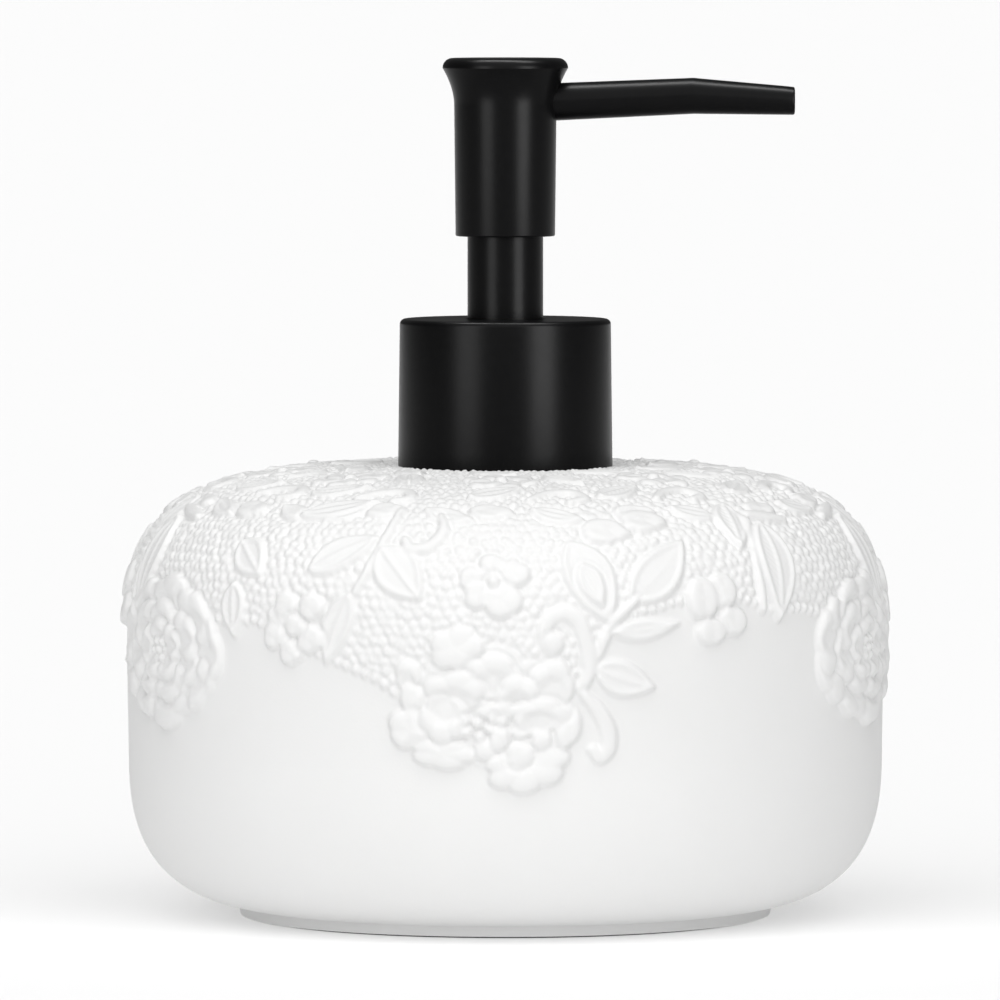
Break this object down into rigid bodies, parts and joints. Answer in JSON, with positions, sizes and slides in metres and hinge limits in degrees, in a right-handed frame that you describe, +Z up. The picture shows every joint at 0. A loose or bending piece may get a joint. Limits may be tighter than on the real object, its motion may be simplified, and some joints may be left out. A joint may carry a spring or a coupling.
{
  "type": "soap pump dispenser",
  "caption": "Low round ceramic bottle with a raised floral lace shoulder and a black screw-on lotion pump with a straight side spout.",
  "frame": {"origin": "centre of the foot's rest plane, on the bottle's axis", "axes": "+Z up along the pump's axis, +X along the spout at rest"},
  "size_m": [0.1136, 0.1136, 0.1289],
  "materials": {
    "ceramic_white": "matte white glaze over cast relief",
    "pump_black": "satin black",
    "plastic_white": "moulded, semi-matte",
    "plastic_natural": "natural translucent polypropylene",
    "seal_soft": "soft seal",
    "foam_dark": "closed-cell foam",
    "spring_steel": "bright drawn wire",
    "ball_glass": "polished"
  },
  "bodies": {
    "bottle_body": {"bottle": "ceramic_white", "base_pad": "foam_dark", "mouth_seal": "seal_soft", "neck_insert": "plastic_white"},
    "pump_body": {"pump_housing": "plastic_natural", "pump_retainer": "plastic_white", "gasket": "seal_soft", "ball_cage": "plastic_natural", "dip_tube": "plastic_natural", "return_spring": "spring_steel"},
    "collar_body": {"closure": "plastic_white", "collar_shell": "pump_black"},
    "ball_body": {"check_ball": "ball_glass"},
    "piston_body": {"piston_seal": "seal_soft"},
    "head_body": {"piston_stem": "plastic_white", "valve_plug": "plastic_white", "neck_sleeve": "pump_black", "head_core": "plastic_white", "head_shell": "pump_black", "spout": "pump_black"}
  },
  "joints": [
    {"name": "pump_rise", "type": "slide", "parent": "bottle_body", "child": "pump_body", "axis": [0, 0, 1], "range_m": [0, 0.00635]},
    {"name": "collar_turn", "type": "hinge", "parent": "pump_body", "child": "collar_body", "pos_m": [0, 0, 0.07], "axis": [0, 0, 1], "range_deg": [0, 540]},
    {"name": "ball_lift", "type": "slide", "parent": "pump_body", "child": "ball_body", "axis": [0, 0, 1], "range_m": [0, 0.0015]},
    {"name": "head_press", "type": "slide", "parent": "pump_body", "child": "piston_body", "axis": [0, 0, -1], "range_m": [0, 0.012], "stiffness_N_per_m": 600, "springref_m": -0.012, "deforming": ["return_spring"]},
    {"name": "spout_swivel", "type": "hinge", "parent": "piston_body", "child": "head_body", "pos_m": [0, 0, 0.1], "axis": [0, 0, 1], "continuous": true}
  ],
  "couplings": [
    {"joint": "collar_turn", "follows": "pump_rise", "rad_per_m": 1484.3}
  ]
}
